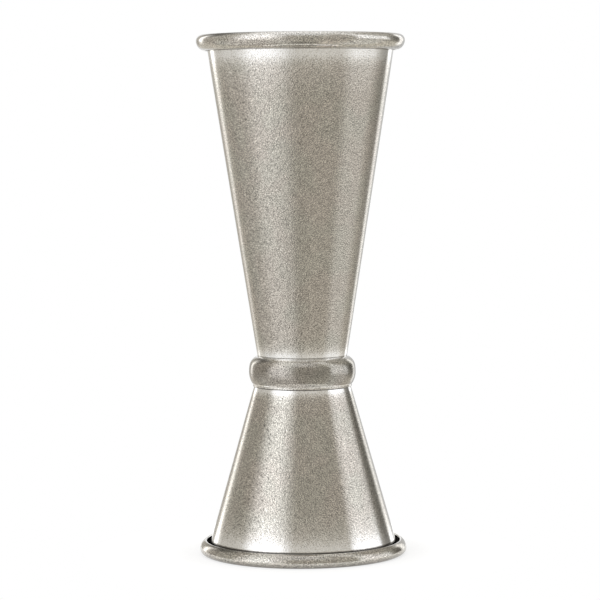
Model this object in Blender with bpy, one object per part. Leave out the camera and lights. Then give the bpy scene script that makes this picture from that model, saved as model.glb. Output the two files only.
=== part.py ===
# Cocktail jigger: two rolled-rim sheet steel cups joined floor to floor, with a formed band
# round the neck. It stands on the small cup's rim: the origin is at the middle of that rim's
# plane, +Z runs up the axis, and lengths are in metres.
#
# Each cup is one sheet. Its middle line is walked from the centre of the floor, round the floor
# corner, up the cone, over the rim and down the rolled lip, and the two skins lie half a
# thickness to each side of it. The small cup is built the same way and turned upside down.

import math
from dataclasses import dataclass

import bpy

# Fit
CLEARANCE = 0.0003  # gap between pieces that touch on the real object
SEGMENTS = 72  # facets round the axis

# Sheet of both cups
CUP_WALL = 0.0006
CORNER_RADIUS = 0.0020  # outside radius between floor and cone

# Large cup, mouth up
LARGE_HEIGHT = 0.0773  # underside of the floor to the crown of the rim
LARGE_FLOOR_RADIUS = 0.00816  # flat part of the floor
LARGE_RIM_RADIUS = 0.0240  # outermost, round the lip
LARGE_ROLL_RADIUS = 0.00125  # outside radius of the roll over the crown
LARGE_LIP_RADIUS = 0.0027  # outside radius of the lip's sweep back under
LARGE_LIP_TURN = math.radians(74)  # how far that sweep turns

# Small cup, mouth down
SMALL_HEIGHT = 0.0417
SMALL_FLOOR_RADIUS = 0.00892
SMALL_RIM_RADIUS = LARGE_RIM_RADIUS  # the jigger stands as wide on either rim
SMALL_ROLL_RADIUS = 0.00116
SMALL_LIP_RADIUS = 0.0021
SMALL_LIP_TURN = math.radians(56)

# Flat land round the crown of each rim, which the jigger stands on
RIM_LAND = 0.0003

# Filler between the two floors
BRAZE_RADIUS = 0.0060
BRAZE_THICKNESS = 0.0004

# Band round the neck
BAND_BULGE = 0.00066  # how far the belly stands out past the wider of the two edges
BAND_ABOVE = 0.0040  # belly to the upper edge
BAND_BELOW = 0.0038  # belly to the lower edge
BAND_WALL = 0.0007
BAND_EDGE = 0.0001  # blunt width left at the upper and lower edge

# Facets along each arc of a section
CORNER_STEPS = 4
ROLL_STEPS = 4
LIP_STEPS = 6
BAND_STEPS = 6

FLOOR_GAP = BRAZE_THICKNESS + 2 * CLEARANCE
BRAZE_BASE = SMALL_HEIGHT + CLEARANCE
BAND_BELLY = SMALL_HEIGHT + FLOOR_GAP / 2
LARGE_BASE = SMALL_HEIGHT + FLOOR_GAP


@dataclass
class Cup:
    """A cup in its own frame: its floor's underside at z = 0 and its mouth towards +Z."""

    height: float
    floor_radius: float
    rim_radius: float
    roll_radius: float
    lip_radius: float
    lip_turn: float

    def corner_to_roll(self):
        """Radius, height and shared width of the two bends that the straight cone runs between."""
        across = self.rim_radius - self.roll_radius - RIM_LAND - self.floor_radius
        up = self.height - self.roll_radius - CORNER_RADIUS
        bends = self.roll_radius + CORNER_RADIUS - CUP_WALL
        return across, up, bends

    def cone_length(self):
        across, up, bends = self.corner_to_roll()
        return math.sqrt(across**2 + up**2 - bends**2)

    def cone_angle(self):
        """Angle of the cone above the floor: it leaves the corner and meets the roll as a tangent."""
        across, up, bends = self.corner_to_roll()
        return math.atan2(up, across) + math.asin(bends / math.hypot(across, up))

    def flare(self):
        """Radius that the cone gains per unit of height."""
        return 1 / math.tan(self.cone_angle())

    def outside_radius(self, z):
        """Radius of the cone's outer face at height z, or of its line drawn on past the corner."""
        angle = self.cone_angle()
        corner_r = self.floor_radius + CORNER_RADIUS * math.sin(angle)
        corner_z = CORNER_RADIUS * (1 - math.cos(angle))
        return corner_r + (z - corner_z) * self.flare()


class SheetWalk:
    """Walks a sheet's middle line in the (radius, height) plane and notes a point on each skin."""

    def __init__(self, r, z, wall):
        self.r, self.z, self.heading, self.half = r, z, 0.0, wall / 2
        self.right, self.left = [], []
        self.note()

    def note(self):
        step_r = self.half * math.sin(self.heading)
        step_z = -self.half * math.cos(self.heading)
        self.right.append((self.r + step_r, self.z + step_z))
        self.left.append((self.r - step_r, self.z - step_z))

    def straight(self, length):
        self.r += length * math.cos(self.heading)
        self.z += length * math.sin(self.heading)
        self.note()

    def turn(self, angle, radius, steps):
        """Follows an arc to the left for a positive angle, or to the right for a negative one."""
        side = math.copysign(radius, angle)
        centre_r = self.r - side * math.sin(self.heading)
        centre_z = self.z + side * math.cos(self.heading)
        for _ in range(steps):
            self.heading += angle / steps
            self.r = centre_r + side * math.sin(self.heading)
            self.z = centre_z - side * math.cos(self.heading)
            self.note()

    def section(self):
        return self.left + self.right[::-1]


def cup_section(cup):
    """Section of a cup's sheet: out along the inside to the lip, and back along the outside."""
    half = CUP_WALL / 2
    walk = SheetWalk(0.0, half, CUP_WALL)
    walk.straight(cup.floor_radius)
    walk.turn(cup.cone_angle(), CORNER_RADIUS - half, CORNER_STEPS)
    walk.straight(cup.cone_length())
    walk.turn(-cup.cone_angle(), cup.roll_radius - half, ROLL_STEPS)
    walk.straight(RIM_LAND)
    walk.turn(-math.pi / 2, cup.roll_radius - half, ROLL_STEPS)
    walk.turn(-cup.lip_turn, cup.lip_radius - half, LIP_STEPS)
    return walk.section()


def arc(centre_r, radius, sweep, steps):
    """Points at equal angles from a circle's widest point, as (radius, distance along the axis)."""
    angles = [sweep * i / steps for i in range(steps + 1)]
    return [(centre_r + radius * math.cos(a), radius * math.sin(a)) for a in angles]


def seat_radius(cup, reach):
    """Radius of the band's seat on a cup, at a distance from the belly."""
    seat_offset = CLEARANCE / math.sin(cup.cone_angle())
    return cup.outside_radius(reach - FLOOR_GAP / 2) + seat_offset


def band_half(cup, reach, belly_r):
    """Skins of the half of the band on one cup, as (radius, distance from the belly).

    The outer skin runs from the belly to the edge. The inner skin runs from the edge along the
    seat on the cone, and then back to the belly as the same arc one thickness further in.
    """
    edge_r = seat_radius(cup, reach)
    bulge = belly_r - edge_r - BAND_EDGE
    radius = (reach**2 + bulge**2) / (2 * bulge)
    centre_r = belly_r - radius
    outer = arc(centre_r, radius, math.atan2(reach, radius - bulge), BAND_STEPS)

    inner_radius = radius - BAND_WALL
    lean = math.atan(cup.flare())
    seat_distance = (seat_radius(cup, 0) - centre_r) * math.cos(lean)
    seat_angle = math.acos(seat_distance / inner_radius) - lean
    inner = arc(centre_r, inner_radius, seat_angle, BAND_STEPS)
    return outer, [(edge_r, reach)] + inner[::-1]


def band_section(large, small):
    """Section of the neck band: down its outside from edge to edge, and back up its inside."""
    wider_seat = max(seat_radius(large, BAND_ABOVE), seat_radius(small, BAND_BELOW))
    belly_r = wider_seat + BAND_EDGE + BAND_BULGE
    upper_outer, upper_inner = band_half(large, BAND_ABOVE, belly_r)
    lower_outer, lower_inner = band_half(small, BAND_BELOW, belly_r)
    down = upper_outer[::-1] + [(r, -z) for r, z in lower_outer[1:]]
    up = [(r, -z) for r, z in lower_inner[:-1]] + upper_inner[::-1]
    return down + up


def braze_section():
    return [
        (0.0, BRAZE_THICKNESS),
        (BRAZE_RADIUS, BRAZE_THICKNESS),
        (BRAZE_RADIUS, 0.0),
        (0.0, 0.0),
    ]


def metal(name, colour, roughness):
    material = bpy.data.materials.new(name)
    material.use_nodes = True
    shader = material.node_tree.nodes["Principled BSDF"]
    shader.inputs["Base Color"].default_value = (*colour, 1.0)
    shader.inputs["Metallic"].default_value = 1.0
    shader.inputs["Roughness"].default_value = roughness
    return material


def turned(name, section, material, height, upside_down=False):
    """A piece turned round Z from a section whose points run down its outer side.

    A section that starts on the axis also ends there, and any other is joined end to start.
    """
    edges = [(i, i + 1) for i in range(len(section) - 1)]
    if section[0][0] > 0:
        edges.append((len(section) - 1, 0))
    mesh = bpy.data.meshes.new(name)
    mesh.from_pydata([(r, 0.0, z) for r, z in section], edges, [])
    mesh.materials.append(material)
    piece = bpy.data.objects.new(name, mesh)
    bpy.context.scene.collection.objects.link(piece)

    turn = piece.modifiers.new("Turn", "SCREW")
    turn.axis = "Z"
    turn.steps = SEGMENTS
    turn.render_steps = SEGMENTS
    turn.use_merge_vertices = True
    turn.merge_threshold = 0.000001
    turn.use_smooth_shade = True

    piece.location.z = height
    if upside_down:
        piece.rotation_euler.x = math.pi
    return piece


def clear_scene():
    for thing in list(bpy.data.objects):
        bpy.data.objects.remove(thing)


def build():
    clear_scene()
    large = Cup(
        height=LARGE_HEIGHT,
        floor_radius=LARGE_FLOOR_RADIUS,
        rim_radius=LARGE_RIM_RADIUS,
        roll_radius=LARGE_ROLL_RADIUS,
        lip_radius=LARGE_LIP_RADIUS,
        lip_turn=LARGE_LIP_TURN,
    )
    small = Cup(
        height=SMALL_HEIGHT,
        floor_radius=SMALL_FLOOR_RADIUS,
        rim_radius=SMALL_RIM_RADIUS,
        roll_radius=SMALL_ROLL_RADIUS,
        lip_radius=SMALL_LIP_RADIUS,
        lip_turn=SMALL_LIP_TURN,
    )
    tumbled_steel = metal("tumbled_steel", (0.50, 0.47, 0.42), 0.34)
    silver_braze = metal("silver_braze", (0.62, 0.58, 0.47), 0.45)

    turned("large_cup", cup_section(large), tumbled_steel, LARGE_BASE)
    turned("small_cup", cup_section(small), tumbled_steel, SMALL_HEIGHT, upside_down=True)
    turned("neck_band", band_section(large, small), tumbled_steel, BAND_BELLY)
    turned("braze_disc", braze_section(), silver_braze, BRAZE_BASE)


build()
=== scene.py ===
# Looks of the cocktail jigger: both cups and the neck band as finely turned sheet metal with a
# tumbled grain, a studio of soft panels for them to reflect, a pale floor and the camera.
# Lengths are in metres, in the frame of the CAD model: the origin is at the middle of the foot
# rim's plane and +Z runs up the axis. Angles are written in degrees.

import math
from dataclasses import dataclass

import bmesh
import bpy
from mathutils import Matrix


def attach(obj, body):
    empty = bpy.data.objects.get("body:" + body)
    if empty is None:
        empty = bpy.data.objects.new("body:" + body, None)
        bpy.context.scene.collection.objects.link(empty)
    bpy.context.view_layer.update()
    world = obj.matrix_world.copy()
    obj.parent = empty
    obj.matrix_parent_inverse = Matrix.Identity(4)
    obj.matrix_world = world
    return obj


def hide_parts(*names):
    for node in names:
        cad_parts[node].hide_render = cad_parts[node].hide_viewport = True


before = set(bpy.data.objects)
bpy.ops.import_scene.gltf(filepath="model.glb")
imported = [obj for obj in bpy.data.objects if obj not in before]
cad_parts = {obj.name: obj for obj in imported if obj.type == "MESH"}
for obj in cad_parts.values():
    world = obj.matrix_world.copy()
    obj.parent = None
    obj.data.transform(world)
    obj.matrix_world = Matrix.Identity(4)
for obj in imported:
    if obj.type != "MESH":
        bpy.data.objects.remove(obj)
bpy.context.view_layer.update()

MM = 0.001
WHITE = (1.0, 1.0, 1.0, 1.0)

FACETS = 288  # round the axis
ON_AXIS = 1e-7  # a point no further than this from the axis is a single vertex

# Undersides of the floors, as in the CAD model
SMALL_FLOOR = 41.7 * MM
LARGE_FLOOR = 42.7 * MM

# Steps along each arc of a cup's section, and the shares of its floor's radius with a point
CORNER_STEPS = 14
FLARE_STEPS = 4
ROLL_STEPS = 14
OUTER_ROLL_STEPS = 16
LIP_STEPS = 20
FLOOR_STOPS = (0.3, 0.6, 0.8, 0.9, 1.0)


class Sheet:
    """Walks a sheet's middle line in the (radius, height) plane and keeps the points of both skins."""

    def __init__(self, r, z, thickness, heading=0.0):
        self.r = r
        self.z = z
        self.heading = math.radians(heading)
        self.half = thickness / 2
        self.right = []
        self.left = []
        self.note()

    def note(self):
        step_r = self.half * math.sin(self.heading)
        step_z = -self.half * math.cos(self.heading)
        self.right.append((self.r + step_r, self.z + step_z))
        self.left.append((self.r - step_r, self.z - step_z))

    def run(self, stops):
        """Goes straight on, and notes a point at each of these distances."""
        start_r = self.r
        start_z = self.z
        for stop in stops:
            self.r = start_r + stop * math.cos(self.heading)
            self.z = start_z + stop * math.sin(self.heading)
            self.note()

    def bend(self, degrees, radius, steps):
        """Follows an arc to the left for positive degrees, or to the right for negative ones."""
        angle = math.radians(degrees)
        side = math.copysign(radius, angle)
        centre_r = self.r - side * math.sin(self.heading)
        centre_z = self.z + side * math.cos(self.heading)
        for _ in range(steps):
            self.heading += angle / steps
            self.r = centre_r + side * math.sin(self.heading)
            self.z = centre_z - side * math.cos(self.heading)
            self.note()

    def rounded_end(self, steps=8):
        """Points of the half-round edge that ends the sheet, from the left skin to the right one."""
        points = []
        for i in range(1, steps):
            angle = self.heading + math.pi / 2 - math.pi * i / steps
            points.append(
                (self.r + self.half * math.cos(angle), self.z + self.half * math.sin(angle))
            )
        return points


def stops(length, fine=0.4 * MM, reach=6.0 * MM, coarse_steps=10):
    """Distances along a straight run: close together near both ends and wide apart between."""
    count = round(reach / fine)
    near = [fine * i for i in range(1, count + 1)]
    gap = length - 2 * reach
    middle = [reach + gap * i / coarse_steps for i in range(1, coarse_steps)]
    far = [length - fine * i for i in range(count, -1, -1)]
    return near + middle + far


@dataclass
class Cup:
    """A cup in its own frame: its floor's underside at z = 0 and its mouth towards +Z.

    The radii of its bends are those of the sheet's middle line.
    """

    height: float
    floor_radius: float  # of the flat part
    cone_angle: float  # of the wall above the floor
    flare: float  # how far the wall opens just before the rim
    crown_radius: float  # from the axis to where the crown's flat land starts
    crown_land: float
    outer_roll: float  # of the bend from the crown out to the widest point
    lip_radius: float
    lip_turn: float  # how far the lip sweeps back in

    sheet = 0.60 * MM
    corner_radius = 1.7 * MM
    flare_radius = 20.0 * MM
    flare_run = 0.6 * MM

    def cone_and_roll(self, start_r, start_z):
        """Length of the straight wall, and radius of the roll that brings it to the crown."""
        wall = math.radians(self.cone_angle)
        flared = math.radians(self.cone_angle - self.flare)
        left_r = (
            self.crown_radius
            - start_r
            - self.flare_radius * (math.sin(wall) - math.sin(flared))
            - self.flare_run * math.cos(flared)
        )
        left_z = (
            self.height
            - self.sheet / 2
            - start_z
            - self.flare_radius * (math.cos(flared) - math.cos(wall))
            - self.flare_run * math.sin(flared)
        )
        roll_r = math.sin(flared)
        roll_z = 1 - math.cos(flared)
        share = math.cos(wall) * roll_z - math.sin(wall) * roll_r
        length = (left_r * roll_z - left_z * roll_r) / share
        roll = (math.cos(wall) * left_z - math.sin(wall) * left_r) / share
        return length, roll

    def section(self):
        """Points from the axis out along the inside, round the lip's edge and back outside."""
        walk = Sheet(0.0, self.sheet / 2, self.sheet)
        walk.run([self.floor_radius * share for share in FLOOR_STOPS])
        walk.bend(self.cone_angle, self.corner_radius, CORNER_STEPS)
        length, roll = self.cone_and_roll(walk.r, walk.z)
        walk.run(stops(length))
        walk.bend(-self.flare, self.flare_radius, FLARE_STEPS)
        walk.run([self.flare_run])
        walk.bend(self.flare - self.cone_angle, roll, ROLL_STEPS)
        walk.run([self.crown_land])
        walk.bend(-90, self.outer_roll, OUTER_ROLL_STEPS)
        walk.bend(-self.lip_turn, self.lip_radius, LIP_STEPS)
        return walk.left, walk.rounded_end(), walk.right[::-1]


LARGE = Cup(
    height=77.3 * MM,
    floor_radius=8.16 * MM,
    cone_angle=81.1,
    flare=2.5,
    crown_radius=22.25 * MM,
    crown_land=0.30 * MM,
    outer_roll=1.15 * MM,
    lip_radius=1.95 * MM,
    lip_turn=76,
)

SMALL = Cup(
    height=41.7 * MM,
    floor_radius=8.92 * MM,
    cone_angle=74.1,
    flare=4.0,
    crown_radius=22.54 * MM,
    crown_land=0.30 * MM,
    outer_roll=0.86 * MM,
    lip_radius=2.00 * MM,
    lip_turn=60,
)


@dataclass
class Bend:
    """One arc of a sheet's walk, to the left for positive degrees."""

    degrees: float
    radius: float  # of the sheet's middle line
    steps: int


# Neck band, walked from its belly down to its small turned-out foot and up to its rim
BAND_SHEET = 0.45 * MM
BELLY_RADIUS = 12.36 * MM
BELLY_HEIGHT = 42.24 * MM
BAND_DOWN = (Bend(-27, 4.775 * MM, 20), Bend(-14, 1.975 * MM, 8), Bend(42, 0.45 * MM, 8))
BAND_FOOT_RUN = 0.25 * MM
BAND_BELLY_RUN = 0.05 * MM
BAND_UP = (Bend(9, 8.775 * MM, 8), Bend(58, 2.625 * MM, 24))


def turned(name, points, finishes_and_painted_light):
    """A closed mesh turned round Z from a section whose ends lie on the axis, or that is a ring.

    The last argument holds, for each point, its polish with a painted highlight, its painted shade and
    its wear.
    """
    shell = bmesh.new()
    polish_and_highlight = shell.verts.layers.float.new("polish_and_highlight")
    painted_shade = shell.verts.layers.float.new("painted_shade")
    wear = shell.verts.layers.float.new("wear")
    rings = []
    for (r, z), (bright, shade_share, worn) in zip(points, finishes_and_painted_light):
        count = FACETS if r > ON_AXIS else 1
        ring = []
        for i in range(count):
            angle = 2 * math.pi * i / FACETS
            vertex = shell.verts.new((r * math.cos(angle), r * math.sin(angle), z))
            vertex[polish_and_highlight] = bright
            vertex[painted_shade] = shade_share
            vertex[wear] = worn
            ring.append(vertex)
        rings.append(ring)
    pairs = list(zip(rings, rings[1:]))
    if len(rings[0]) > 1:
        pairs.append((rings[-1], rings[0]))
    for first, second in pairs:
        for i in range(FACETS):
            j = (i + 1) % FACETS
            corners = [first[i % len(first)], first[j % len(first)]]
            corners += [second[j % len(second)], second[i % len(second)]]
            unique = list(dict.fromkeys(corners))
            if len(unique) > 2:
                shell.faces.new(unique)
    bmesh.ops.recalc_face_normals(shell, faces=shell.faces)
    mesh = bpy.data.meshes.new(name)
    shell.to_mesh(mesh)
    shell.free()
    mesh.shade_smooth()
    piece = bpy.data.objects.new(name, mesh)
    bpy.context.scene.collection.objects.link(piece)
    return piece


def cup_piece(name, cup, height, upside_down, finish_and_painted_light):
    """A cup in place, with the finish, painted highlight and painted shade of each point of its
    section.
    """
    inside, edge, outside = cup.section()
    points = []
    finishes_and_painted_light = []
    for skin, part in (("inside", inside), ("edge", edge), ("outside", outside)):
        for r, z in part:
            placed = height - z if upside_down else height + z
            points.append((max(r, 0.0), placed))
            finishes_and_painted_light.append(finish_and_painted_light(placed, skin, r))
    return turned(name, points, finishes_and_painted_light)


def neck_band():
    """The hollow band: a sheet bulged round the waist, closed onto both cones at its edges."""
    start_r = BELLY_RADIUS - BAND_SHEET / 2
    down = Sheet(start_r, BELLY_HEIGHT, BAND_SHEET, heading=-90)
    for bend in BAND_DOWN:
        down.bend(bend.degrees, bend.radius, bend.steps)
    down.run([BAND_FOOT_RUN])
    up = Sheet(start_r, BELLY_HEIGHT, BAND_SHEET, heading=90)
    up.run([BAND_BELLY_RUN])
    for bend in BAND_UP:
        up.bend(bend.degrees, bend.radius, bend.steps)
    outer = up.right[::-1] + down.left[1:]
    inner = down.right[::-1] + up.left[1:]
    points = outer + down.rounded_end() + inner + up.rounded_end()
    return turned("band_shell", points, [band_finish_and_painted_light(z) for _, z in points])


# Each point gets (polish and highlight, painted shade, wear). The first is brighter metal:
# polish with a painted highlight in it. The second is painted shade, a dark colour where shade
# falls. Wear above 0 is smoother than the walls, and below 0 it is more satin.
INSIDE_FINISH = (0.8, 0.0, -2.2)
UNDER_LIP_SHADE = (0.0, 1.0, 0.0)  # painted shade on the skin that a lip hides, in the gap behind it
# The large lip's edge is worn smooth, with a little painted shade on it
LARGE_EDGE_FINISH_AND_SHADE = (0.0, 0.2, 0.8)
# The small lip's edge is worn smooth and polished, with a painted highlight along it
SMALL_EDGE_FINISH_AND_HIGHLIGHT = (0.9, 0.0, 0.8)
# The lips are worn smooth, with a little polish and a painted highlight on them
LIP_POLISH_AND_HIGHLIGHT = 0.05
LIP_WEAR = 0.8

# Large cup. Each strip is polished, with a painted highlight, over its first length and fades over its
# second.
LARGE_CREASE = 116.25 * MM  # where the wall goes up behind the lip
LARGE_STRIP = (1.45 * MM, 1.7 * MM)  # below the crease
LARGE_FOOT = 46.2 * MM  # where the wall comes out of the band
LARGE_FOOT_STRIP = (0.6 * MM, 1.0 * MM)  # above the band
LARGE_LIP_RADIUS = 22.4 * MM  # innermost part of the lip's upper side
LARGE_LIP_END_HEIGHT = 119.0 * MM
LARGE_LIP_END_RADIUS = 21.85 * MM  # innermost part of the lip below that height
LARGE_RUB = (118.2 * MM, 119.3 * MM)  # the lip gets brighter over these heights, polished with a painted highlight
LARGE_RUB_POLISH_AND_HIGHLIGHT = 0.45

# Small cup, from its foot lip up. Its strips are polished with a painted highlight, as on the large
# cup.
SMALL_CREASE = 3.35 * MM
SMALL_STRIP = (0.9 * MM, 2.4 * MM)  # above the crease
SMALL_HEAD = 38.6 * MM  # where the wall goes into the band
SMALL_HEAD_STRIP = (0.3 * MM, 0.7 * MM)  # below the band
SMALL_LIP_RADIUS = 22.5 * MM
SMALL_UNDERSIDE = (1.25 * MM, 0.70 * MM)  # the lip gets darker with painted shade down over these heights
SMALL_UNDERSIDE_SHADE = 0.42
SMALL_SOLE = (0.5 * MM, 0.0)  # and darker still with painted shade over these
SMALL_SOLE_SHADE = 0.5

# Neck band. Its rim and foot are polished with a painted highlight along the edge, and below its
# shoulder painted shade darkens it.
BAND_RIM = 45.8 * MM
BAND_RIM_FADE = 0.30 * MM
BAND_RIM_POLISH_AND_HIGHLIGHT = 0.8
BAND_FOOT = 39.75 * MM
BAND_FOOT_POLISH_AND_HIGHLIGHT = 0.4
BAND_SHOULDER = (44.7 * MM, 44.1 * MM)  # painted shade sets in down over these heights
BAND_SHADE = 0.28
BAND_WEAR = 0.3


def fade(z, middle, plateau, length):
    """1 at a height and over the plateau beside it, and less and less further away."""
    return math.exp(-max(0.0, abs(z - middle) - plateau) / length)


def part_way(z, start, end):
    """0 up to the start, 1 from the end on, and a straight line between, upwards or downwards."""
    return min(1.0, max(0.0, (z - start) / (end - start)))


def large_cup_finish_and_painted_light(z, skin, r):
    if skin == "edge":
        return LARGE_EDGE_FINISH_AND_SHADE
    if skin == "inside":
        on_end = z < LARGE_LIP_END_HEIGHT and r > LARGE_LIP_END_RADIUS
        if not on_end and r <= LARGE_LIP_RADIUS:
            return INSIDE_FINISH
        rubbed = LARGE_RUB_POLISH_AND_HIGHLIGHT * part_way(z, *LARGE_RUB)
        return LIP_POLISH_AND_HIGHLIGHT + rubbed, 0.0, LIP_WEAR
    if z > LARGE_CREASE:
        return UNDER_LIP_SHADE
    strip_polish_and_highlight = fade(z, LARGE_CREASE, *LARGE_STRIP)
    strip_polish_and_highlight += fade(max(z, LARGE_FOOT), LARGE_FOOT, *LARGE_FOOT_STRIP)
    return strip_polish_and_highlight, 0.0, strip_polish_and_highlight


def small_cup_finish_and_painted_light(z, skin, r):
    if skin == "edge":
        return SMALL_EDGE_FINISH_AND_HIGHLIGHT
    if skin == "inside":
        if r < SMALL_LIP_RADIUS:
            return INSIDE_FINISH
        shade_share = SMALL_UNDERSIDE_SHADE * part_way(z, *SMALL_UNDERSIDE)
        shade_share += SMALL_SOLE_SHADE * part_way(z, *SMALL_SOLE)
        return LIP_POLISH_AND_HIGHLIGHT, shade_share, LIP_WEAR
    if z < SMALL_CREASE:
        return UNDER_LIP_SHADE
    strip_polish_and_highlight = fade(z, SMALL_CREASE, *SMALL_STRIP)
    strip_polish_and_highlight += fade(min(z, SMALL_HEAD), SMALL_HEAD, *SMALL_HEAD_STRIP)
    return strip_polish_and_highlight, 0.0, strip_polish_and_highlight


def band_finish_and_painted_light(z):
    if z < BAND_FOOT:
        return BAND_FOOT_POLISH_AND_HIGHLIGHT, 0.0, BAND_WEAR
    rim = BAND_RIM_POLISH_AND_HIGHLIGHT * fade(min(z, BAND_RIM), BAND_RIM, 0.0, BAND_RIM_FADE)
    return rim, BAND_SHADE * part_way(z, *BAND_SHOULDER), BAND_WEAR


class Graph:
    """Short ways to add nodes to one node tree and to wire them."""

    def __init__(self, tree):
        self.tree = tree
        tree.nodes.clear()

    def add(self, kind, *inputs, **settings):
        """A node whose first sockets take these values or links. None leaves a socket as it is."""
        node = self.tree.nodes.new(kind)
        for key, value in settings.items():
            setattr(node, key, value)
        for index, value in enumerate(inputs):
            self.feed(node.inputs[index], value)
        return node

    def feed(self, socket, value):
        if isinstance(value, bpy.types.NodeSocket):
            self.tree.links.new(value, socket)
        elif value is not None:
            socket.default_value = value

    def math(self, operation, *inputs):
        return self.add("ShaderNodeMath", *inputs, operation=operation).outputs[0]

    def ramp(self, value, start, end, low=0.0, high=1.0):
        """low until start, high from end on, and an S-curve between."""
        node = self.add(
            "ShaderNodeMapRange", value, start, end, low, high, interpolation_type="SMOOTHSTEP"
        )
        return node.outputs[0]

    def line(self, value, middle, width):
        """1 where the value is at the middle, and 0 from half the width away."""
        offset = self.math("ABSOLUTE", self.math("SUBTRACT", value, middle))
        return self.ramp(offset, width / 4, width / 2, 1.0, 0.0)

    def mix(self, share, first, second):
        node = self.add("ShaderNodeMix", share, data_type="RGBA")
        self.feed(node.inputs[6], first)
        self.feed(node.inputs[7], second)
        return node.outputs[2]

    def scaled(self, colour, share):
        """A colour times a number."""
        node = self.add("ShaderNodeVectorMath", colour, operation="SCALE")
        self.feed(node.inputs["Scale"], share)
        return node.outputs[0]

    def varied(self, value, middle, gain):
        """How far a value is from its middle, times a gain."""
        return self.math("MULTIPLY", self.math("SUBTRACT", value, middle), gain)

    def attribute(self, name):
        return self.add("ShaderNodeAttribute", attribute_name=name).outputs["Fac"]

    def noise(self, place, size, detail):
        """Soft noise whose lumps are about this wide, with this many finer octaves on them."""
        node = self.add("ShaderNodeTexNoise", place)
        node.inputs["Scale"].default_value = 1 / size
        node.inputs["Detail"].default_value = detail
        return node.outputs["Fac"]

    def crisp_noise(self, place, size, reach, share):
        """Noise less a share of the noise around it, so that each lump stands out by itself."""
        middle = self.noise(place, size, 0.0)
        corners = ((1, 1, 1), (1, -1, -1), (-1, 1, -1), (-1, -1, 1))
        step = reach / math.sqrt(3)
        around = 0.0
        for corner in corners:
            offset = tuple(step * side for side in corner)
            moved = self.add("ShaderNodeVectorMath", place, offset, operation="ADD").outputs[0]
            around = self.math("ADD", around, self.noise(moved, size, 0.0))
        taken = self.math("MULTIPLY", around, share / len(corners))
        return self.math("SUBTRACT", middle, taken)

    def cells(self, place, size):
        """A random number for each small dent, and the distance from the dent's middle."""
        node = self.add("ShaderNodeTexVoronoi", place)
        node.inputs["Scale"].default_value = 1 / size
        split = self.add("ShaderNodeSeparateColor", node.outputs["Color"])
        return split.outputs[0], node.outputs["Distance"]

    def metal(self, colour, roughness, relief, strength, depth):
        """Ends the tree in a metal with this relief, whose depth is in metres."""
        bump = self.add("ShaderNodeBump")
        bump.inputs["Strength"].default_value = strength
        bump.inputs["Distance"].default_value = depth
        self.feed(bump.inputs["Height"], relief)
        shader = self.add("ShaderNodeBsdfPrincipled")
        shader.inputs["Metallic"].default_value = 1.0
        self.feed(shader.inputs["Base Color"], colour)
        self.feed(shader.inputs["Roughness"], roughness)
        self.feed(shader.inputs["Normal"], bump.outputs[0])
        self.add("ShaderNodeOutputMaterial", shader.outputs[0])


def new_material(name):
    material = bpy.data.materials.new(name)
    material.use_nodes = True
    return material, Graph(material.node_tree)


# Steel colours. The bright one is polished steel with a painted highlight in it, and the darkest one
# is painted shade.
WARM_STEEL = (0.505, 0.468, 0.418, 1.0)
GREEN_STEEL = (0.490, 0.469, 0.416, 1.0)
BRIGHT_STEEL = (1.0, 0.975, 0.93, 1.0)
PAINTED_SHADE_COLOUR = (0.06, 0.055, 0.05, 1.0)

# Painted shade: dark lines where the band's edges meet the cups
UPPER_SEAM = 46.10 * MM
UPPER_SEAM_SHADE = 0.75
LOWER_SEAM = 38.95 * MM
LOWER_SEAM_SHADE = 1.0
SEAM_WIDTH = 0.28 * MM

# Tumbled grain: how wide each kind of mark is, and how much it changes the brightness
GRAIN_TILT = (0.61, 0.43, 0.87)  # turns the noise off the object's axes, so that no plane shows
DENT_SIZE = 0.11 * MM
DENT_MIDDLE = 0.5  # mean of a dent's random number
DENT_GAIN = 0.35
CRISP_SIZE = 0.17 * MM
CRISP_REACH = 0.25 * MM
CRISP_SHARE = 0.8
CRISP_MIDDLE = 0.1  # mean of the crisp noise
CRISP_GAIN = 2.55
MOTTLE_SIZE = 1.6 * MM
MOTTLE_DETAIL = 2.0
MOTTLE_MIDDLE = 0.5
MOTTLE_GAIN = 0.22
CLOUD_SIZE = 7.0 * MM  # patches of the two steel colours
CLOUD_DETAIL = 1.0
CLOUD_EDGE = (0.35, 0.65)
LEAST_GAIN = 0.1  # the darkest mark keeps this share of the brightness
BURNISH_CALM = 0.55  # how much of the grain burnishing takes away
WEAR_LIFT = 0.15  # how much grain wear adds

# Roughness and relief of the steel
PLAIN_ROUGHNESS = 0.15
DENT_ROUGHNESS = 0.06
WEAR_ROUGHNESS = 0.09
FINE_SIZE = 0.08 * MM
FINE_DETAIL = 1.0
DENT_RELIEF = 0.26
RELIEF_STRENGTH = 0.5
RELIEF_DEPTH = 0.004 * MM


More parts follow.
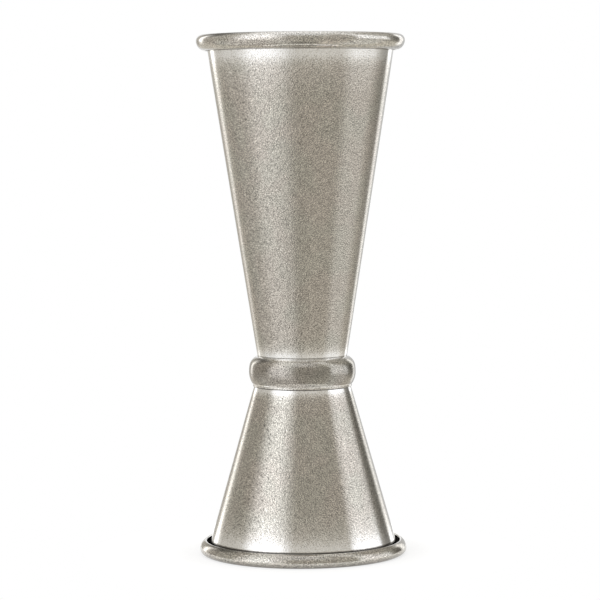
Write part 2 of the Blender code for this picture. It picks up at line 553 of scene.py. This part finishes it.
def tumbled_steel():
    """Steel tumbled to a fine sparkling grain, polished with a painted highlight and darkened with
    painted shade where the attributes and seams say so.
    """
    material, graph = new_material("tumbled_steel")
    upright = graph.add("ShaderNodeTexCoord").outputs["Object"]
    place = graph.add(
        "ShaderNodeVectorRotate", upright, None, None, None, GRAIN_TILT, rotation_type="EULER_XYZ"
    ).outputs[0]
    polish_and_highlight = graph.math("MINIMUM", graph.attribute("polish_and_highlight"), 1.0)
    wear = graph.math("MINIMUM", graph.attribute("wear"), 1.0)

    height = graph.add("ShaderNodeSeparateXYZ", upright).outputs[2]
    # Painted shade along the seams at the band's edges
    upper = graph.math("MULTIPLY", graph.line(height, UPPER_SEAM, SEAM_WIDTH), UPPER_SEAM_SHADE)
    lower = graph.math("MULTIPLY", graph.line(height, LOWER_SEAM, SEAM_WIDTH), LOWER_SEAM_SHADE)
    seams = graph.math("MAXIMUM", upper, lower)
    painted_shade = graph.math("MAXIMUM", graph.attribute("painted_shade"), seams)

    calmed = graph.math("SUBTRACT", 1.0, graph.math("MULTIPLY", polish_and_highlight, BURNISH_CALM))
    rubbed = graph.math("MAXIMUM", wear, 0.0)
    lifted = graph.math("ADD", 1.0, graph.math("MULTIPLY", rubbed, WEAR_LIFT))
    amount = graph.math("MULTIPLY", calmed, lifted)

    dent, dent_depth = graph.cells(place, DENT_SIZE)
    crisp = graph.crisp_noise(place, CRISP_SIZE, CRISP_REACH, CRISP_SHARE)
    dents = graph.varied(dent, DENT_MIDDLE, DENT_GAIN)
    specks = graph.varied(crisp, CRISP_MIDDLE, CRISP_GAIN)
    grain = graph.math("MULTIPLY", graph.math("ADD", dents, specks), amount)
    mottle = graph.noise(place, MOTTLE_SIZE, MOTTLE_DETAIL)
    mottle = graph.varied(mottle, MOTTLE_MIDDLE, MOTTLE_GAIN)
    gain = graph.math("ADD", graph.math("ADD", grain, mottle), 1.0)
    gain = graph.math("MAXIMUM", gain, LEAST_GAIN)

    cloud = graph.ramp(graph.noise(place, CLOUD_SIZE, CLOUD_DETAIL), *CLOUD_EDGE)
    colour = graph.mix(cloud, WARM_STEEL, GREEN_STEEL)
    # Brighter where polished, with a painted highlight, and then darker with painted shade
    colour = graph.mix(polish_and_highlight, colour, BRIGHT_STEEL)
    colour = graph.scaled(colour, gain)
    colour = graph.mix(painted_shade, colour, PAINTED_SHADE_COLOUR)

    rough = graph.math("ADD", PLAIN_ROUGHNESS, graph.math("MULTIPLY", dent, DENT_ROUGHNESS))
    rough = graph.math("SUBTRACT", rough, graph.math("MULTIPLY", wear, WEAR_ROUGHNESS))

    fine = graph.noise(place, FINE_SIZE, FINE_DETAIL)
    relief = graph.math("ADD", graph.math("MULTIPLY", dent_depth, DENT_RELIEF), fine)
    relief = graph.math("MULTIPLY", relief, amount)
    graph.metal(colour, rough, relief, RELIEF_STRENGTH, RELIEF_DEPTH)
    return material


# Silver solder
PALE_SOLDER = (0.66, 0.62, 0.50, 1.0)
DARK_SOLDER = (0.56, 0.51, 0.40, 1.0)
SOLDER_LUMP = 0.8 * MM
SOLDER_DETAIL = 3.0
SOLDER_SPAN = (0.3, 0.7)  # the noise between which the roughness changes
SOLDER_ROUGHNESS = (0.38, 0.52)
SOLDER_STRENGTH = 0.6
SOLDER_DEPTH = 0.03 * MM


def silver_braze():
    """Dull, slightly lumpy silver solder."""
    material, graph = new_material("silver_braze")
    place = graph.add("ShaderNodeTexCoord").outputs["Object"]
    lumps = graph.noise(place, SOLDER_LUMP, SOLDER_DETAIL)
    colour = graph.mix(lumps, PALE_SOLDER, DARK_SOLDER)
    rough = graph.ramp(lumps, *SOLDER_SPAN, *SOLDER_ROUGHNESS)
    graph.metal(colour, rough, lumps, SOLDER_STRENGTH, SOLDER_DEPTH)
    return material


@dataclass
class Panel:
    """A soft-edged area of the studio as the object sees it.

    Azimuth is 0 towards the camera and grows to the camera's right; elevation is above the
    horizon. Soft is the width of its edges. Level is its brightness, where 1 is white.
    """

    azimuth: tuple
    elevation: tuple
    soft: float
    level: float
    tint: tuple = (1.0, 1.0, 1.0)


# Tints of the panels
WARM = (1.04, 1.0, 0.92)
PALE_WARM = (1.01, 1.0, 0.975)
COOL = (0.99, 1.0, 1.03)

# The studio: each panel covers the ones before it
STUDIO_BASE = 0.52
STUDIO = (
    # ceiling, and the table at the back and in front
    Panel((-220, 220), (44, 110), 11, 1.03),
    Panel((-220, -124), (-110, -8), 9, 0.77, WARM),
    Panel((95, 220), (-110, -12), 14, 0.77, WARM),
    Panel((3, 69), (-69, -22), 36, 0.71, WARM),
    Panel((-26, 26), (-90, -46), 16, 0.38, WARM),
    # left soft box and its glow on the table
    Panel((-73.4, -26.4), (-31, 48.5), 36, 1.53, COOL),
    Panel((-117, -14), (-66, -13), 36, 0.79, PALE_WARM),
    # right soft box and its glow on the table
    Panel((64.6, 116.5), (-5.6, 41), 5.6, 1.38, COOL),
    Panel((63, 109.5), (-64, -4.5), 22, 0.86, PALE_WARM),
    # dark room at the upper left, and in front to the right of the camera
    Panel((-141, -97), (1.6, 60.5), 9, 0.50, WARM),
    Panel((-5, 69.5), (14, 75), 31, 0.55, WARM),
    # left strip light behind, with a dimmer gap before it and the bright backdrop after it
    Panel((-145, -135), (-8, 35), 17.4, 4.0),
    Panel((-139.4, -127.5), (-17, 33), 17.4, 0.53, WARM),
    Panel((-220, -167), (-100, 58), 2.3, 0.87),
    # right strip light behind, between a dark flag and the bright backdrop
    Panel((118, 153.6), (-7, 50), 31, 0.17, WARM),
    Panel((141.8, 159.3), (-19, 24.5), 6.2, 1.54),
    Panel((154.8, 220), (-100, 24), 9, 0.65),
    # dark room above the strip lights, and a dimmer ceiling in front
    Panel((-176, -121), (23, 49), 30, 0.12, WARM),
    Panel((91.5, 144), (21, 69), 36, 0.50, WARM),
    Panel((-36, 40), (42, 85), 36, 0.75),
    # the room straight behind the object, alike on both sides of the seam at 180 degrees
    Panel((-220, -175), (-100, 55), 6, 0.76),
    Panel((175, 220), (-100, 55), 6, 0.76),
)

# The white backdrop straight behind the object, as reflections show it
BACKDROP_AZIMUTH = 180.0
BACKDROP_HALF_WIDTH = 5.0
BACKDROP_HALF_HEIGHT = 14.0
BACKDROP_SOFT = 4.0


def tinted(level, tint):
    return tuple(level * channel for channel in tint) + (1.0,)


def shown(graph, camera_share, glossy_share):
    """The first share for camera rays, the second for glossy and transmitted rays, or else 0."""
    path = graph.add("ShaderNodeLightPath")
    glossy = graph.math(
        "MAXIMUM", path.outputs["Is Glossy Ray"], path.outputs["Is Transmission Ray"]
    )
    seen = graph.math("MULTIPLY", path.outputs["Is Camera Ray"], camera_share)
    return graph.math("MAXIMUM", seen, graph.math("MULTIPLY", glossy, glossy_share))


def studio():
    """White for the camera, and for reflections the studio with the white backdrop behind."""
    world = bpy.data.worlds.new("studio")
    bpy.context.scene.world = world
    world.use_nodes = True
    graph = Graph(world.node_tree)
    direction = graph.add("ShaderNodeTexCoord").outputs["Generated"]
    x, y, z = graph.add("ShaderNodeSeparateXYZ", direction).outputs
    towards = graph.math("MULTIPLY", y, -1.0)
    azimuth = graph.math("DEGREES", graph.math("ARCTAN2", x, towards))
    elevation = graph.math("DEGREES", graph.math("ARCSINE", z))

    def within(angle, span, soft):
        """1 inside a span of angles, 0 outside, and an S-curve of this width across each edge."""
        start, end = span
        rise = graph.ramp(angle, start - soft / 2, start + soft / 2)
        fall = graph.ramp(angle, end - soft / 2, end + soft / 2, 1.0, 0.0)
        return graph.math("MULTIPLY", rise, fall)

    light = tinted(STUDIO_BASE, WARM)
    for panel in STUDIO:
        across = within(azimuth, panel.azimuth, panel.soft)
        up = within(elevation, panel.elevation, panel.soft)
        share = graph.math("MULTIPLY", across, up)
        light = graph.mix(share, light, tinted(panel.level, panel.tint))

    half_soft = BACKDROP_SOFT / 2
    side = BACKDROP_AZIMUTH - BACKDROP_HALF_WIDTH
    turned_away = graph.math("ABSOLUTE", azimuth)
    across = graph.ramp(turned_away, side - half_soft, side + half_soft)
    top = BACKDROP_HALF_HEIGHT
    off_level = graph.math("ABSOLUTE", elevation)
    up = graph.ramp(off_level, top - half_soft, top + half_soft, 1.0, 0.0)
    backdrop = graph.math("MULTIPLY", across, up)

    light = graph.mix(shown(graph, 1.0, backdrop), light, WHITE)
    background = graph.add("ShaderNodeBackground", light, 1.0)
    graph.add("ShaderNodeOutputWorld", background.outputs[0])


# Table top
FLOOR_RADIUS = 50 * MM
FLOOR_SEGMENTS = 128
FLOOR_DROP = 0.02 * MM  # how far the table top lies below the foot
FLOOR_COLOUR = (0.35, 0.35, 0.35, 1.0)
FLOOR_GLOW = 0.74  # at the middle, over and above the light that falls on it
FLOOR_FADE_START = 24 * MM  # from here out the glow grows to white


def floor():
    """A pale round table top: white to the camera and to reflections, with a soft shadow.

    Its glow grows to full white at the edge, so that it runs into the white backdrop.
    """
    shell = bmesh.new()
    bmesh.ops.create_circle(shell, cap_ends=True, segments=FLOOR_SEGMENTS, radius=FLOOR_RADIUS)
    mesh = bpy.data.meshes.new("table_top")
    shell.to_mesh(mesh)
    shell.free()
    top = bpy.data.objects.new("table_top", mesh)
    top.location.z = -FLOOR_DROP
    bpy.context.scene.collection.objects.link(top)

    material, graph = new_material("pale_table")
    place = graph.add("ShaderNodeTexCoord").outputs["Object"]
    from_middle = graph.add("ShaderNodeVectorMath", place, operation="LENGTH").outputs["Value"]
    strength = graph.ramp(from_middle, FLOOR_FADE_START, FLOOR_RADIUS, FLOOR_GLOW, 1.0)
    matt = graph.add("ShaderNodeBsdfDiffuse", FLOOR_COLOUR)
    glow = graph.add("ShaderNodeEmission", WHITE, shown(graph, strength, strength))
    both = graph.add("ShaderNodeAddShader", matt.outputs[0], glow.outputs[0])
    graph.add("ShaderNodeOutputMaterial", both.outputs[0])
    mesh.materials.append(material)


# Camera, as fitted to the photograph
CAMERA_LENS = 156.0
CAMERA_SENSOR = 36.0
CAMERA_DISTANCE = 601.5 * MM
CAMERA_ELEVATION = 3.98
CAMERA_AIM_Z = 58.83 * MM
CAMERA_SIDE = -0.44 * MM
CAMERA_ROLL = -0.35
CAMERA_NEAREST = 0.05
CAMERA_FURTHEST = 10.0


def camera():
    data = bpy.data.cameras.new("camera")
    data.lens = CAMERA_LENS
    data.sensor_width = CAMERA_SENSOR
    data.clip_start = CAMERA_NEAREST
    data.clip_end = CAMERA_FURTHEST
    eye = bpy.data.objects.new("camera", data)
    lean = math.radians(CAMERA_ELEVATION)
    place = (
        CAMERA_SIDE,
        -CAMERA_DISTANCE * math.cos(lean),
        CAMERA_AIM_Z + CAMERA_DISTANCE * math.sin(lean),
    )
    tilt = Matrix.Rotation(math.radians(90 - CAMERA_ELEVATION), 4, "X")
    roll = Matrix.Rotation(math.radians(CAMERA_ROLL), 4, "Z")
    eye.matrix_world = Matrix.Translation(place) @ tilt @ roll
    bpy.context.scene.collection.objects.link(eye)
    bpy.context.scene.camera = eye


def dress(piece, material, slot, *nodes):
    """Gives a piece its material and its place on the body, and hides the CAD nodes that it stands
    for.
    """
    piece.data.materials.append(material)
    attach(piece, "root")
    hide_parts(*nodes)


def build():
    bpy.context.scene.view_settings.view_transform = "Standard"
    studio()
    floor()
    camera()
    steel = tumbled_steel()
    large = cup_piece("large_cup_shell", LARGE, LARGE_FLOOR, False, large_cup_finish_and_painted_light)
    small = cup_piece("small_cup_shell", SMALL, SMALL_FLOOR, True, small_cup_finish_and_painted_light)
    band = neck_band()
    dress(large, steel, "tumbled_steel", "large_cup")
    dress(small, steel, "tumbled_steel", "small_cup")
    dress(band, steel, "tumbled_steel", "neck_band")
    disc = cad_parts["braze_disc"]
    disc.data.materials.clear()
    disc.data.materials.append(silver_braze())


build()
